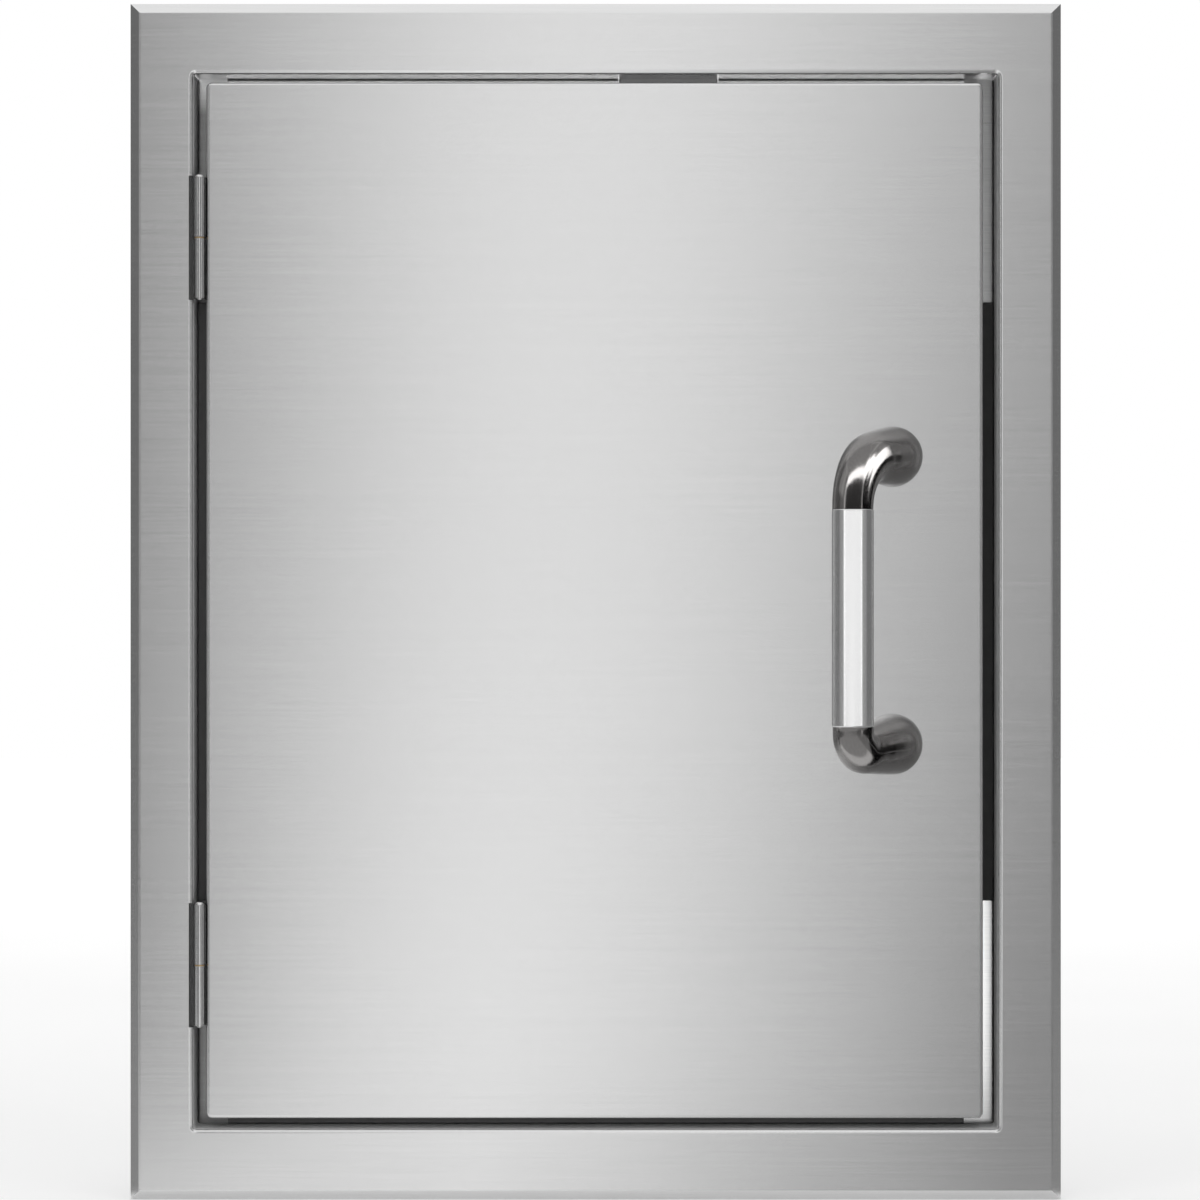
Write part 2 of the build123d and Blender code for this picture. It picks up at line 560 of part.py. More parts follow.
def catch_screws():
    """Screws up through the housing, the door stop and the jamb."""
    seat = CATCH_BOTTOM + CATCH_SCREW_HEAD_HEIGHT
    length = JAMB_Z + JAMB_SHEET + CATCH_SCREW_END - seat
    screw = headed_pin(CATCH_SCREW_RADIUS, length, CATCH_SCREW_HEAD_RADIUS, CATCH_SCREW_HEAD_HEIGHT)
    return [Pos(x, CATCH_SCREW_Y, seat) * HEAD_DOWN * screw for x in CATCH_SCREWS_X]


def strike_holes(front, back):
    """Cutters for the rivets of the strike plate, between two depths."""
    radius = RIVET_RADIUS + RIVET_FIT
    return [rod(radius, (x, front, STRIKE_Z), (x, back, STRIKE_Z)) for x in STRIKE_RIVETS_X]


def strike_plate():
    """Steel plate on the back of the door, which the catch holds."""
    back = DOOR_BACK_Y + STRIKE_SHEET
    plate = slab(CATCH_LENGTH, STRIKE_HEIGHT, DOOR_BACK_Y, back, STRIKE_CORNER, CATCH_X, STRIKE_Z)
    plate -= strike_holes(DOOR_BACK_Y, back)
    sunk_head = RIVET_HEAD_RADIUS + RIVET_FIT
    for x in STRIKE_RIVETS_X:
        plate -= rod(sunk_head, (x, back - RIVET_HEAD_HEIGHT, STRIKE_Z), (x, back, STRIKE_Z))
    return plate


def strike_rivets():
    """Rivets through the strike plate and the liner, with their heads sunk in the plate."""
    seat = DOOR_BACK_Y + STRIKE_SHEET - RIVET_HEAD_HEIGHT
    stack = seat - DOOR_BACK_Y + LINER_SHEET
    return [Pos(x, seat, STRIKE_Z) * HEAD_BACK * rivet(stack) for x in STRIKE_RIVETS_X]


def hinge_nodes():
    """Leaves and pin of each hinge."""
    nodes = {}
    for name, middle in HINGE_HEIGHTS.items():
        nodes[f"{name}_hinge_frame_leaf"] = hinge_frame_leaf(middle)
        nodes[f"{name}_hinge_door_leaf"] = hinge_door_leaf(middle)
        nodes[f"{name}_hinge_pin"] = hinge_pin(middle)
    return nodes


def frame_nodes():
    """Pieces that stay in the wall."""
    strip_x = OPENING_X - STOP_REACH / 2
    strip_length = 2 * (OPENING_Z - BUMPER_INSET)
    upper_jamb = jamb_end()
    return {
        "bezel": bezel(),
        "jamb_left": jamb_side() - leaf_rivet_holes(-JAMB_X - JAMB_SHEET, -JAMB_X),
        "jamb_right": mirror(jamb_side(), Plane.YZ),
        "jamb_top": upper_jamb - catch_screw_holes(JAMB_Z, JAMB_Z + JAMB_SHEET),
        "jamb_bottom": mirror(upper_jamb, Plane.XY),
        "stop_left": stop_side(),
        "stop_right": mirror(stop_side(), Plane.YZ),
        "stop_top": stop_top(),
        "stop_bottom": mirror(stop_end(), Plane.XY),
        "bumper_left": bumper_strip(strip_length, -strip_x, 0),
        "bumper_right": bumper_strip(strip_length, strip_x, 0),
        "bumper_bottom": bumper_bottom(),
        "hinge_washers": hinge_washers(),
        "frame_rivets": frame_rivets(),
        "catch_housing": catch_housing(),
        "catch_magnet": catch_magnet(),
        "catch_poles": catch_poles(),
        "catch_screws": catch_screws(),
    }


def door_nodes():
    """Pieces that swing with the door."""
    lower_foot, upper_foot = HANDLE_FEET
    return {
        "door_skin": door_skin(),
        "door_liner": door_liner(),
        "door_rivets": door_rivets(),
        "handle_elbow_upper": handle_elbow(upper_foot, GRIP_TOP, GRIP_TOP - SPIGOT_LENGTH),
        "handle_elbow_lower": handle_elbow(lower_foot, GRIP_BOTTOM, GRIP_BOTTOM + SPIGOT_LENGTH),
        "handle_grip": handle_grip(),
        "handle_doubler": handle_doubler(),
        "handle_washers": handle_washers(),
        "handle_screws": handle_screws(),
        "liner_plugs": liner_plugs(),
        "strike_plate": strike_plate(),
        "strike_rivets": strike_rivets(),
    }


os.makedirs("parts", exist_ok=True)
for node, shape in {**frame_nodes(), **hinge_nodes(), **door_nodes()}.items():
    solid = Compound(shape) if isinstance(shape, list) else shape
    export_step(solid, f"parts/{node}.step")
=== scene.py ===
import math

import bpy
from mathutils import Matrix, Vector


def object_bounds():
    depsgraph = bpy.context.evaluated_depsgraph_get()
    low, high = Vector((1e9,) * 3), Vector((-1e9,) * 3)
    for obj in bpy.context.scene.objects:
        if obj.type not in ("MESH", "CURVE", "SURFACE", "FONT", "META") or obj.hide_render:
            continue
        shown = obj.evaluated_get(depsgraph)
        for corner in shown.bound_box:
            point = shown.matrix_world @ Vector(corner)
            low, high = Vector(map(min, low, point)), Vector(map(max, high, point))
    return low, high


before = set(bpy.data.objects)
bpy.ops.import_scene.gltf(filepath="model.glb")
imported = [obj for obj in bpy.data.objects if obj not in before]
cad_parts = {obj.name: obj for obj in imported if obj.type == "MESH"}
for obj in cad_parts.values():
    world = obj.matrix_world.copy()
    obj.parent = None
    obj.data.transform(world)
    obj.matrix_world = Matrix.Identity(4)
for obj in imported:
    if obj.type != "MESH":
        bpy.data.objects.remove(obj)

# Stainless access door: brushed frame and door, polished handle, in soft studio light.
# Sizes are in metres. X points right, Y points into the wall and Z points up.

CAD_LOW, CAD_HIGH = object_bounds()

# Camera: straight in front of the door
VIEW_DISTANCE = 1.8  # from the face of the frame
VIEW_CENTRE_X = 0.002
VIEW_CENTRE_Z = 0.0007
VIEW_WIDTH = 0.5559  # seen across the picture, at the face of the frame
SENSOR_WIDTH = 36.0

# Floor
FLOOR_FRONT = 2.0  # in front of the wall plane
FLOOR_BACK = 5.0
FLOOR_SIDE = 5.0
FLOOR_LIFT = 0.3  # light of its own, which keeps the open floor white

# Backdrop that the door and the frame reflect: brightness by place across it
BACKDROP_Y = -3.5
BACKDROP_HALF_HEIGHT = 3.2
BACKDROP_TILT = math.radians(4.5)
BACKDROP_WIDENING = 0.18  # of the shading, in each metre above the middle
BACKDROP_STOPS = [
    (-3.60, 0.24), (-0.66, 0.24), (-0.42, 0.67), (-0.24, 0.96), (-0.06, 1.06), (0.16, 0.88),
    (0.45, 0.53), (0.67, 0.24), (3.60, 0.24),
]

# Side cards, dark beside the frame
SIDE_CARD_X = 1.6
SIDE_CARD_HALF_HEIGHT = 2.0
SIDE_CARD_STOPS = [(-1.3, 0.32), (-0.5, 0.28), (-0.25, 0.17), (1.6, 0.17)]

# Cards on the floor: for the bottom rail, to carry the backdrop on, and beside the frame
FLOOR_CARD_GAP = 0.001
RAIL_CARD_BACK = -0.012
RAIL_CARD_FRONT = -0.25
RAIL_CARD_STOPS = [
    (-1.50, 0.64), (-0.40, 0.64), (-0.25, 0.72), (-0.17, 0.86), (-0.06, 0.93), (0.02, 0.76),
    (0.10, 0.52), (0.20, 0.32), (0.40, 0.22), (1.50, 0.22),
]
FLOOR_CARD_SIDE = 1.5
SIDE_FLOOR_GAP = 0.01  # beside the frame
SIDE_FLOOR_BACK = 1.5
SIDE_FLOOR_SHADE = 0.3
FAN_CARD_FRONT = -1.9
FAN_SHIFT = -0.08  # of the brightest place, measured on the backdrop

# Ceiling card, black to the elbows
CEILING_Z = 3.0
CEILING_SIDE = 3.6
CEILING_BACK = 1.0
CEILING_SHADE = 1.0

WHITE = (1.0, 1.0, 1.0, 1.0)
FACE_Y = -0.009  # face of the frame

# Pieces that some cards light or spare
GRIP = ("handle_grip",)
ELBOWS = ("handle_elbow_upper", "handle_elbow_lower")
LOWER_ELBOW = ELBOWS[1:]
LATCH_STRIP = ("bumper_right",)

# Clear cards between two corners, with their brightness and the only nodes that they light
ACCENTS = {
    "grip_light": ((-3.6, -3.3, -0.6), (3.6, -3.3, 1.3), 0.95, GRIP),
    "elbow_light": ((-1.2, -1.2, 1.02), (1.5, -1.2, 1.75), 3.6, ELBOWS),
    "elbow_side_front": ((1.5, -1.2, 0.85), (1.5, -0.6, 1.85), 3.6, ELBOWS),
    "elbow_side_middle": ((1.5, -0.6, 0.55), (1.5, -0.2, 1.5), 3.6, ELBOWS),
    "elbow_side_back": ((1.5, -0.2, 0.25), (1.5, 0.4, 1.0), 3.6, ELBOWS),
    "elbow_ceiling": ((-2.6, -1.9, 2.9), (2.6, 1.0, 2.9), 0.5, ELBOWS),
    "elbow_left_wash": ((-1.5, -0.9, 0.55), (-1.5, 0.6, 2.0), 0.35, ELBOWS),
    "elbow_right_wash": ((1.55, -1.3, 0.9), (1.55, 1.5, 2.1), 0.45, ELBOWS),
    "elbow_front_wash": ((-3.6, -2.9, -0.6), (3.6, -2.9, 2.4), 0.07, ELBOWS),
    "elbow_floor": ((-1.0, -1.5, -0.27), (0.5, -0.02, -0.27), 0.5, LOWER_ELBOW),
    "elbow_floor_right": ((0.5, -1.5, -0.27), (2.2, -0.02, -0.27), 0.33, LOWER_ELBOW),
    "elbow_floor_back": ((-0.3, -0.11, -0.268), (0.5, -0.012, -0.268), 0.5, LOWER_ELBOW),
    "stop_light": ((0.15, -1.75, -0.274), (0.5, -0.22, -0.274), 7.0, ("stop_right",)),
    "head_light": ((-1.5, -3.2, -0.3), (1.5, -3.2, 0.8), 4.5, ("stop_top",)),
    "catch_light": ((-3.0, -3.1, -0.6), (3.0, -3.1, 0.9), 5.5, ("catch_housing",)),
    "strip_light": ((-3.0, -3.0, -0.6), (3.0, -3.0, 0.9), 2.0, ("bumper_left", "bumper_bottom")),
}

# Painted shade on the cut edges of the notches beside the hinges, darker than the rest
NOTCH_X, NOTCH_REACH_X = -0.1875, 0.0025
NOTCH_Y, NOTCH_REACH_Y = -0.0060, 0.0012
HINGE_Z, HINGE_REACH_Z = 0.1685, 0.030  # from the middle of the frame, up and down
NOTCH_SHADE_SHARE = 0.12

# Sheet that is folded back into the opening, matt at its sides and foot
RETURN_X = 0.1867  # just past the sides of the opening
RETURN_LOW, RETURN_HIGH = -0.2447, 0.2440  # just past its foot, just short of its head
RETURN_Y = -0.0080

# Painted shade in the crevices behind the hinge barrels, darker than the rest
CREVICE_Y, CREVICE_REACH_Y = -0.0068, 0.0023
CREVICE_SHADE_SHARE = 0.12

# Painted highlight on the upper end of the left door stop, brighter than the rest
STOP_END_LOW, STOP_END_HIGH = 0.228, 0.240
STOP_END_HIGHLIGHT_SHARE = 2.8

# Patterns of the finishes, with their lumps in a metre along each axis
NOISE_LOW, NOISE_HIGH = 0.3, 0.7  # where most of a noise lies
LONG_GRAIN = (5.0, 60.0, 700.0)
FINE_GRAIN = (25.0, 200.0, 2600.0)
SMUDGE, SMUDGE_SHARE = (7.0, 7.0, 4.0), 0.3
FLOOR_CLOUD = (6.0, 6.0, 6.0)
SCRATCHES_ACROSS, SCRATCHES_ALONG = 40.0, 6.0  # for each lump of the metal
MOULD_CLOUD = 20.0  # lumps of the grain across one of the cloud
UPRIGHT = (0.01, 0.0, 1.0)  # a little off the axis, so that it is no face's normal

# Uneven polish, and the strength and depth of the fine relief
STEEL_SPREAD, STEEL_RELIEF = 0.03, 0.04
METAL_SPREAD, METAL_RELIEF = 0.3, 0.02  # the spread as a share of the roughness
MOULD_SPREAD, MOULD_RELIEF = 0.08, 0.25
METAL_DEPTH, MOULD_DEPTH = 0.0002, 0.0001

# Finish, if another than that of the material slot: painted shade on the elbows, painted highlight on the
# left stop
FINISHES = {name: "shaded_elbow_steel" for name in ELBOWS} | {"stop_left": "left_stop_steel_painted_highlight"}


def add_node(tree, kind, inputs=None, **settings):
    """New node with its settings, its inputs either linked to a socket or set to a value."""
    node = tree.nodes.new(kind)
    for name, value in settings.items():
        setattr(node, name, value)
    for name, value in (inputs or {}).items():
        if isinstance(value, bpy.types.NodeSocket):
            tree.links.new(value, node.inputs[name])
        else:
            node.inputs[name].default_value = value
    return node


def new_material(name):
    """Material with its node tree and its main shader."""
    material = bpy.data.materials.new(name)
    material.use_nodes = True
    tree = material.node_tree
    return material, tree, tree.nodes["Principled BSDF"]


def object_point(tree, scale):
    """Place on the object, in metres, stretched by a scale along each axis."""
    place = add_node(tree, "ShaderNodeTexCoord")
    mapping = add_node(tree, "ShaderNodeMapping", {"Vector": place.outputs["Object"], "Scale": scale})
    return mapping.outputs["Vector"]


def place_along(axis):
    """Place along one axis of a card or a piece."""

    def place(tree):
        point = add_node(tree, "ShaderNodeTexCoord").outputs["Object"]
        return add_node(tree, "ShaderNodeSeparateXYZ", {"Vector": point}).outputs[axis]

    return place


def noise(tree, scale, detail=2.0, rough=0.5):
    """Cloudy pattern from 0 to 1, with its number of lumps in a metre along each axis."""
    settings = {"Vector": object_point(tree, scale), "Scale": 1.0, "Detail": detail, "Roughness": rough}
    return add_node(tree, "ShaderNodeTexNoise", settings).outputs["Fac"]


def spread(tree, factor, low, high):
    """Pattern stretched to a range of numbers."""
    inputs = {"Value": factor, "From Min": NOISE_LOW, "From Max": NOISE_HIGH, "To Min": low, "To Max": high}
    return add_node(tree, "ShaderNodeMapRange", inputs).outputs["Result"]


def blend_factors(tree, first, second, share):
    """Two patterns mixed, with the share of the second."""
    mix = add_node(tree, "ShaderNodeMix", data_type="FLOAT")
    tree.links.new(first, mix.inputs[2])
    tree.links.new(second, mix.inputs[3])
    mix.inputs[0].default_value = share
    return mix.outputs[0]


def blend_greys(tree, factor, dark, light):
    """Colour between two, by a pattern."""
    ramp = add_node(tree, "ShaderNodeValToRGB", {"Fac": factor})
    ramp.color_ramp.elements[0].position = NOISE_LOW
    ramp.color_ramp.elements[1].position = NOISE_HIGH
    ramp.color_ramp.elements[0].color = (*dark, 1.0)
    ramp.color_ramp.elements[1].color = (*light, 1.0)
    return ramp.outputs["Color"]


def bump(tree, shader, height, strength, distance):
    """Fine relief from a pattern."""
    inputs = {"Height": height, "Strength": strength, "Distance": distance}
    node = add_node(tree, "ShaderNodeBump", inputs)
    tree.links.new(node.outputs["Normal"], shader.inputs["Normal"])


def calculate(tree, operation, *values):
    """Result of a sum on sockets and numbers."""
    return add_node(tree, "ShaderNodeMath", dict(enumerate(values)), operation=operation).outputs["Value"]


def toned(tree, colour, mask, share):
    """Colour brought to a share of itself where the mask is 1."""
    inputs = {"Value": mask, "To Min": 1.0, "To Max": share}
    factor = add_node(tree, "ShaderNodeMapRange", inputs).outputs["Result"]
    node = add_node(tree, "ShaderNodeVectorMath", {0: colour, "Scale": factor}, operation="SCALE")
    return node.outputs["Vector"]


def painted_notch_shade(tree):
    """1 where painted shade darkens the bare edges of the notches beside the hinges, 0 elsewhere."""
    height = calculate(tree, "ABSOLUTE", place_along("Z")(tree))
    across = calculate(tree, "COMPARE", place_along("X")(tree), NOTCH_X, NOTCH_REACH_X)
    deep = calculate(tree, "COMPARE", place_along("Y")(tree), NOTCH_Y, NOTCH_REACH_Y)
    beside = calculate(tree, "COMPARE", height, HINGE_Z, HINGE_REACH_Z)
    return calculate(tree, "MULTIPLY", calculate(tree, "MULTIPLY", across, deep), beside)


def inner_return(tree):
    """1 on the sheet that is folded back into the opening at its sides and foot, 0 elsewhere."""
    middle, reach = (RETURN_HIGH + RETURN_LOW) / 2, (RETURN_HIGH - RETURN_LOW) / 2
    across = calculate(tree, "COMPARE", place_along("X")(tree), 0.0, RETURN_X)
    height = calculate(tree, "COMPARE", place_along("Z")(tree), middle, reach)
    deep = calculate(tree, "GREATER_THAN", place_along("Y")(tree), RETURN_Y)
    return calculate(tree, "MULTIPLY", calculate(tree, "MULTIPLY", across, height), deep)


def painted_end_highlight_mask(tree):
    """Painted highlight mask: 0 below the upper end of the opening, rising to 1 at its head."""
    inputs = {"Value": place_along("Z")(tree), "From Min": STOP_END_LOW, "From Max": STOP_END_HIGH}
    return add_node(tree, "ShaderNodeMapRange", inputs).outputs["Result"]


def brushed_steel(name, dark, light, roughness, anisotropy, is_frame=False, painted_end_highlight=False):
    """Steel with a fine level grain, which draws reflections out upright."""
    material, tree, shader = new_material(name)
    grain = blend_factors(tree, noise(tree, LONG_GRAIN, 3.0, 0.6), noise(tree, FINE_GRAIN), 0.5)
    shade = blend_factors(tree, grain, noise(tree, SMUDGE, 4.0, 0.55), SMUDGE_SHARE)
    colour = blend_greys(tree, shade, dark, light)
    shader.inputs["Metallic"].default_value = 1.0
    if is_frame:
        # Painted shade: the notch edges beside the hinges are darkened in the colour
        colour = toned(tree, colour, painted_notch_shade(tree), NOTCH_SHADE_SHARE)
        metal = calculate(tree, "SUBTRACT", 1.0, inner_return(tree))
        tree.links.new(metal, shader.inputs["Metallic"])
    if painted_end_highlight:
        # Painted highlight: the upper end of the left stop is brightened in the colour
        colour = toned(tree, colour, painted_end_highlight_mask(tree), STOP_END_HIGHLIGHT_SHARE)
    tree.links.new(colour, shader.inputs["Base Color"])
    polish = spread(tree, shade, roughness - STEEL_SPREAD, roughness + STEEL_SPREAD)
    tree.links.new(polish, shader.inputs["Roughness"])
    bump(tree, shader, grain, STEEL_RELIEF, METAL_DEPTH)
    shader.inputs["Specular IOR Level"].default_value = 0.0
    shader.inputs["Anisotropic"].default_value = anisotropy
    upright = add_node(tree, "ShaderNodeCombineXYZ", dict(zip("XYZ", UPRIGHT)))
    turn = add_node(
        tree,
        "ShaderNodeVectorTransform",
        {"Vector": upright.outputs["Vector"]},
        vector_type="VECTOR",
        convert_from="OBJECT",
        convert_to="WORLD",
    )
    tree.links.new(turn.outputs["Vector"], shader.inputs["Tangent"])
    return material


def smooth_metal(name, dark, light, roughness, lumps, paint_crevice_shade=False):
    """Plain metal with cloudy colour, uneven polish and hair-fine scratches."""
    material, tree, shader = new_material(name)
    cloud = noise(tree, (lumps, lumps, lumps), 4.0, 0.6)
    across, along = lumps * SCRATCHES_ACROSS, lumps * SCRATCHES_ALONG
    wear = blend_factors(tree, cloud, noise(tree, (across, across, along)), 0.5)
    colour = blend_greys(tree, wear, dark, light)
    if paint_crevice_shade:
        # Painted shade: darker colour in the crevices behind the hinge barrels
        crevice_shade = calculate(tree, "COMPARE", place_along("Y")(tree), CREVICE_Y, CREVICE_REACH_Y)
        colour = toned(tree, colour, crevice_shade, CREVICE_SHADE_SHARE)
    tree.links.new(colour, shader.inputs["Base Color"])
    polish = spread(tree, wear, roughness * (1.0 - METAL_SPREAD), roughness * (1.0 + METAL_SPREAD))
    tree.links.new(polish, shader.inputs["Roughness"])
    bump(tree, shader, wear, METAL_RELIEF, METAL_DEPTH)
    shader.inputs["Metallic"].default_value = 1.0
    return material


def moulded(name, dark, light, roughness, lumps):
    """Dull plastic, rubber or ceramic with a fine moulded grain."""
    material, tree, shader = new_material(name)
    large = lumps / MOULD_CLOUD
    cloud = noise(tree, (large, large, large), 3.0)
    grain = noise(tree, (lumps, lumps, lumps), rough=0.6)
    shade = blend_factors(tree, cloud, grain, 0.5)
    tree.links.new(blend_greys(tree, shade, dark, light), shader.inputs["Base Color"])
    polish = spread(tree, shade, roughness - MOULD_SPREAD, roughness + MOULD_SPREAD)
    tree.links.new(polish, shader.inputs["Roughness"])
    bump(tree, shader, grain, MOULD_RELIEF, MOULD_DEPTH)
    return material


def grey(value):
    """Colour with the same brightness in red, green and blue."""
    return (value, value, value)


MATERIALS = {
    "frame_brushed_steel": brushed_steel(
        "frame_brushed_steel", grey(0.72), grey(0.80), 0.24, 0.75, is_frame=True
    ),
    # Door stops: dull steel, its darker colour partly painted shade for the deep gap
    "stop_steel": brushed_steel("stop_steel", grey(0.26), grey(0.34), 0.30, 0.6),
    # Left stop with a painted highlight at its upper end
    "left_stop_steel_painted_highlight": brushed_steel("left_stop_steel_painted_highlight", grey(0.26), grey(0.34), 0.30, 0.6, painted_end_highlight=True),
    "door_brushed_steel": brushed_steel("door_brushed_steel", grey(0.73), grey(0.80), 0.24, 0.75),
    "polished_steel": smooth_metal("polished_steel", grey(0.86), grey(0.92), 0.17, 30.0),
    # Painted shade: a darker, warmer copy of the polished steel for the elbows, standing in for their dark
    # reflections
    "shaded_elbow_steel": smooth_metal("shaded_elbow_steel", (0.29, 0.28, 0.275), (0.35, 0.34, 0.335), 0.16, 30.0),
    "hinge_steel": smooth_metal("hinge_steel", grey(0.66), grey(0.74), 0.2, 90.0, paint_crevice_shade=True),
    "rivet_steel": smooth_metal("rivet_steel", grey(0.58), grey(0.70), 0.3, 200.0),
    "zinc_steel": smooth_metal("zinc_steel", (0.56, 0.58, 0.60), (0.70, 0.72, 0.73), 0.38, 160.0),
    "bumper_rubber": moulded("bumper_rubber", grey(0.080), grey(0.110), 0.75, 2500.0),
    "black_plastic": moulded("black_plastic", grey(0.13), grey(0.18), 0.5, 1800.0),
    "ferrite": moulded("ferrite", grey(0.05), grey(0.075), 0.65, 1500.0),
    "bronze": smooth_metal("bronze", (0.52, 0.36, 0.18), (0.66, 0.47, 0.25), 0.36, 200.0),
}


def dress_nodes():
    """Each piece gets its finish, and the door doesn't mirror the handle."""
    for name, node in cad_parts.items():
        for slot in node.material_slots:
            slot.material = MATERIALS[FINISHES.get(name, slot.material.name.split(".")[0])]
    for name in GRIP + ELBOWS:
        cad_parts[name].visible_glossy = False


def flat_piece(name, corners, material):
    """Single four-cornered face of the studio."""
    mesh = bpy.data.meshes.new(name)
    mesh.from_pydata(corners, [], [(0, 1, 2, 3)])
    mesh.materials.append(material)
    piece = bpy.data.objects.new(name, mesh)
    bpy.context.scene.collection.objects.link(piece)
    return piece


def card_material(name, colour, clear=False):
    """Material that gives light of a colour, and may let all else through."""
    material = bpy.data.materials.new(name)
    material.use_nodes = True
    tree = material.node_tree
    tree.nodes.clear()
    light = add_node(tree, "ShaderNodeEmission", {"Color": colour(tree)}).outputs["Emission"]
    if clear:
        through = add_node(tree, "ShaderNodeBsdfTransparent").outputs["BSDF"]
        light = add_node(tree, "ShaderNodeAddShader", {0: light, 1: through}).outputs["Shader"]
    add_node(tree, "ShaderNodeOutputMaterial", {"Surface": light})
    return material


def even(brightness):
    """Same brightness all over a card."""
    return lambda tree: (*grey(brightness), 1.0)


def place_in_fan(tree):
    """Place across the backdrop in line with a place on the floor, for the camera's mirror image."""
    mirror_y = FACE_Y + VIEW_DISTANCE
    depth = calculate(tree, "SUBTRACT", mirror_y, place_along("Y")(tree))
    slope = calculate(tree, "DIVIDE", place_along("X")(tree), depth)
    return calculate(tree, "MULTIPLY_ADD", slope, mirror_y - BACKDROP_Y, -FAN_SHIFT)


def place_in_wedge(tree):
    """Place across the backdrop, where its shading is drawn out wider towards the top."""
    rise = calculate(tree, "MAXIMUM", place_along("Z")(tree), 0.0)
    width = calculate(tree, "MULTIPLY_ADD", rise, BACKDROP_WIDENING, 1.0)
    return calculate(tree, "DIVIDE", place_along("X")(tree), width)


def shaded(place, stops):
    """Brightness that changes with the place on a card."""

    def colour(tree):
        first, last = stops[0][0], stops[-1][0]
        inputs = {"Value": place(tree), "From Min": first, "From Max": last}
        share = add_node(tree, "ShaderNodeMapRange", inputs).outputs["Result"]
        ramp = add_node(tree, "ShaderNodeValToRGB", {"Fac": share})
        elements = ramp.color_ramp.elements
        while len(elements) < len(stops):
            elements.new(0.5)
        for element, (spot, brightness) in zip(elements, stops):
            element.position = (spot - first) / (last - first)
            element.color = (*grey(brightness), 1.0)
        return ramp.outputs["Color"]

    return colour


def card(name, corners, colour, clear=False):
    """Card that only reflections show."""
    piece = flat_piece(name, corners, card_material(name, colour, clear))
    piece.visible_camera = False
    return piece


def flat_card(name, low, high, colour, clear=False):
    """Upright or level card between two opposite corners."""
    if low[0] == high[0]:
        second = (low[0], high[1], low[2])
    else:
        second = (high[0], low[1], low[2])
    fourth = tuple(a + b - c for a, b, c in zip(low, high, second))
    return card(name, [low, second, high, fourth], colour, clear)


def link_light(piece, nodes, state):
    """Card whose light reaches only the named nodes, or all but those."""
    group = bpy.data.collections.new(piece.name)
    for node in nodes:
        group.objects.link(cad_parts[node])
    for entry in group.collection_objects:
        entry.light_linking.link_state = state
    piece.light_linking.receiver_collection = group


def make_backdrop():
    """Tilted card behind the camera, bright in the middle, which shades the door across."""
    side, tall = BACKDROP_STOPS[-1][0], BACKDROP_HALF_HEIGHT
    shade = shaded(place_in_wedge, BACKDROP_STOPS)
    backdrop = flat_card("backdrop", (-side, 0.0, -tall), (side, 0.0, tall), shade)
    backdrop.location = (0, BACKDROP_Y, 0)
    backdrop.rotation_euler = (0, BACKDROP_TILT, 0)
    link_light(backdrop, GRIP + ELBOWS + LATCH_STRIP, "EXCLUDE")


def make_side_cards():
    """Dark cards at both sides, for the bevels and the sides of the grip."""
    tall = SIDE_CARD_HALF_HEIGHT
    front, back = SIDE_CARD_STOPS[0][0], SIDE_CARD_STOPS[-1][0]
    shade = shaded(place_along("Y"), SIDE_CARD_STOPS)
    for name, x in (("left_card", -SIDE_CARD_X), ("right_card", SIDE_CARD_X)):
        side_card = flat_card(name, (x, front, -tall), (x, back, tall), shade)
        if x > 0:
            link_light(side_card, ELBOWS, "EXCLUDE")


def make_floor_cards():
    """Shaded cards on the floor for the bottom rail, the lower part of the door and the frame's sides."""
    z = CAD_LOW.z + FLOOR_CARD_GAP
    side = RAIL_CARD_STOPS[-1][0]
    shade = shaded(place_along("X"), RAIL_CARD_STOPS)
    rail_card = flat_card("rail_card", (-side, RAIL_CARD_FRONT, z), (side, RAIL_CARD_BACK, z), shade)
    low, high = (-FLOOR_CARD_SIDE, FAN_CARD_FRONT, z), (FLOOR_CARD_SIDE, RAIL_CARD_FRONT, z)
    fan_card = flat_card("fan_card", low, high, shaded(place_in_fan, BACKDROP_STOPS))
    near_side = CAD_HIGH.x + SIDE_FLOOR_GAP
    low, high = (near_side, RAIL_CARD_BACK, z), (FLOOR_CARD_SIDE, SIDE_FLOOR_BACK, z)
    right_floor = flat_card("right_floor", low, high, even(SIDE_FLOOR_SHADE))
    low, high = (-FLOOR_CARD_SIDE, RAIL_CARD_BACK, z), (-near_side, SIDE_FLOOR_BACK, z)
    left_floor = flat_card("left_floor", low, high, even(SIDE_FLOOR_SHADE))
    for piece in (rail_card, fan_card, left_floor, right_floor):
        piece.visible_diffuse = False
        piece.visible_shadow = False
        link_light(piece, ELBOWS, "EXCLUDE")


def make_ceiling():
    """White card overhead, which the top bevel shows."""
    low = (-CEILING_SIDE, BACKDROP_Y, CEILING_Z)
    high = (CEILING_SIDE, CEILING_BACK, CEILING_Z)
    ceiling = flat_card("ceiling", low, high, even(CEILING_SHADE))
    link_light(ceiling, ELBOWS, "EXCLUDE")


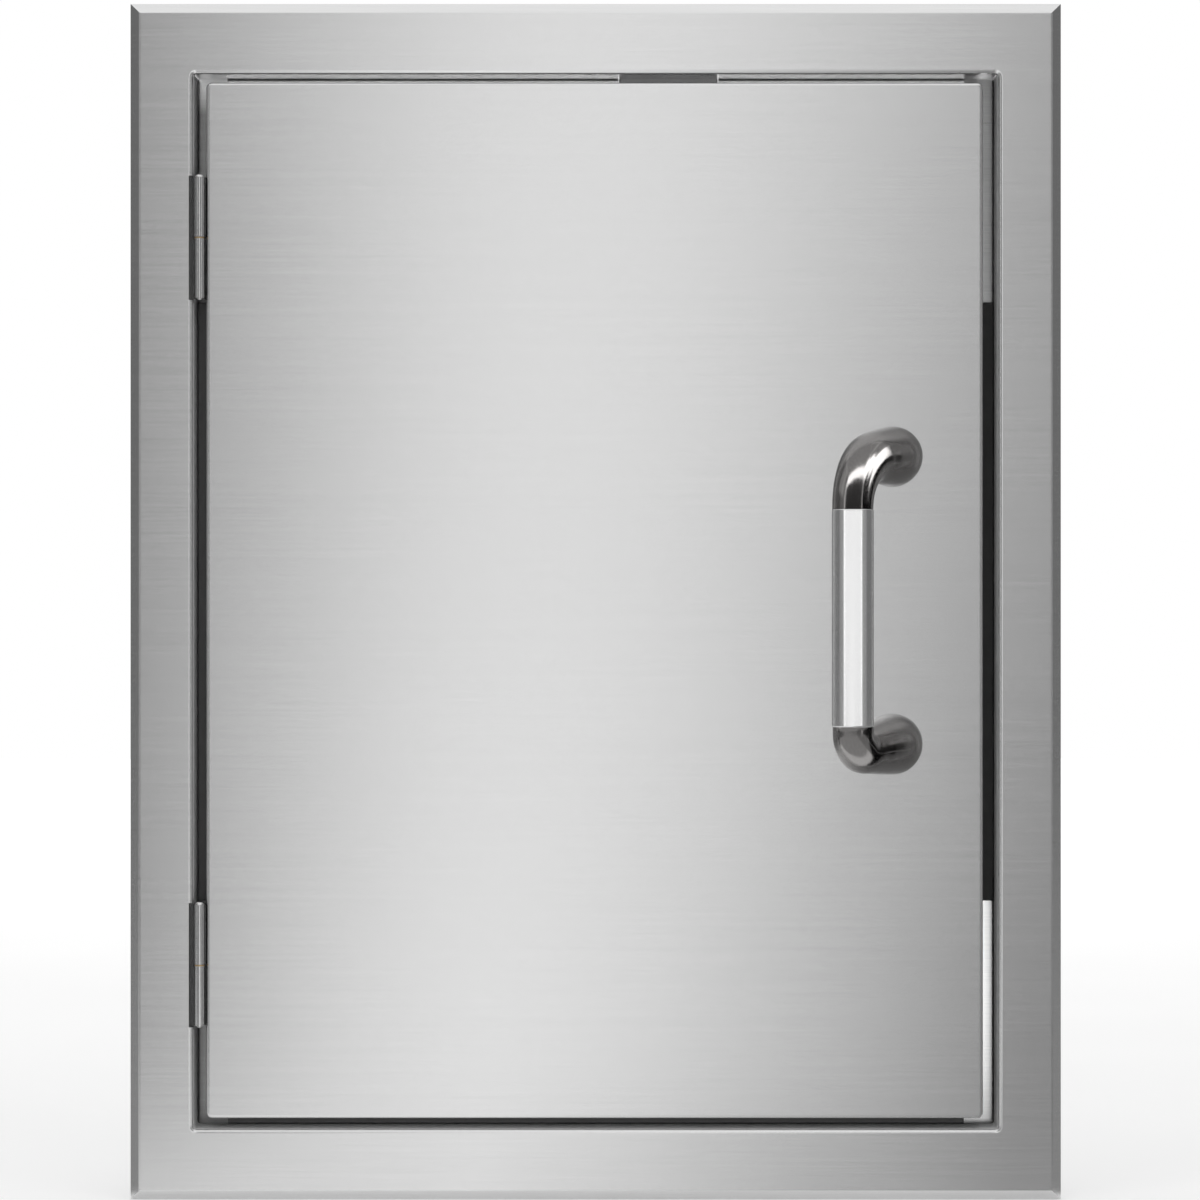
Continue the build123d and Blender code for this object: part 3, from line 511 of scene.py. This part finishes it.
def make_accents():
    """Clear cards that add light to some pieces only."""
    for name, (low, high, brightness, nodes) in ACCENTS.items():
        accent = flat_card(name, low, high, even(brightness), True)
        link_light(accent, nodes, "INCLUDE")


def make_floor():
    """White floor at the foot of the frame, which keeps the shadow."""
    material, tree, shader = new_material("floor")
    cloud = noise(tree, FLOOR_CLOUD)
    tree.links.new(blend_greys(tree, cloud, grey(0.88), grey(0.90)), shader.inputs["Base Color"])
    shader.inputs["Roughness"].default_value = 0.9
    shader.inputs["Specular IOR Level"].default_value = 0.0
    path = add_node(tree, "ShaderNodeLightPath")
    seen = calculate(tree, "ADD", path.outputs["Is Camera Ray"], path.outputs["Is Glossy Ray"])
    seen = calculate(tree, "ADD", seen, path.outputs["Is Transmission Ray"])
    shader.inputs["Emission Color"].default_value = WHITE
    tree.links.new(calculate(tree, "MULTIPLY", seen, FLOOR_LIFT), shader.inputs["Emission Strength"])
    low = CAD_LOW.z
    corners = [
        (-FLOOR_SIDE, -FLOOR_FRONT, low), (FLOOR_SIDE, -FLOOR_FRONT, low),
        (FLOOR_SIDE, FLOOR_BACK, low), (-FLOOR_SIDE, FLOOR_BACK, low),
    ]
    flat_piece("floor", corners, material)


def make_world():
    """Even white light from all round."""
    world = bpy.data.worlds.new("studio")
    world.use_nodes = True
    background = world.node_tree.nodes["Background"]
    background.inputs["Color"].default_value = WHITE
    background.inputs["Strength"].default_value = 1.0
    bpy.context.scene.world = world


def make_camera():
    """Level camera in front of the middle of the frame."""
    data = bpy.data.cameras.new("camera")
    data.sensor_width = SENSOR_WIDTH
    data.lens = VIEW_DISTANCE * SENSOR_WIDTH / VIEW_WIDTH
    camera = bpy.data.objects.new("camera", data)
    camera.location = (VIEW_CENTRE_X, FACE_Y - VIEW_DISTANCE, VIEW_CENTRE_Z)
    camera.rotation_euler = (math.radians(90), 0, 0)
    bpy.context.scene.collection.objects.link(camera)
    bpy.context.scene.camera = camera


dress_nodes()
make_floor()
make_backdrop()
make_side_cards()
make_floor_cards()
make_ceiling()
make_accents()
make_world()
make_camera()
bpy.context.scene.view_settings.view_transform = "Standard"
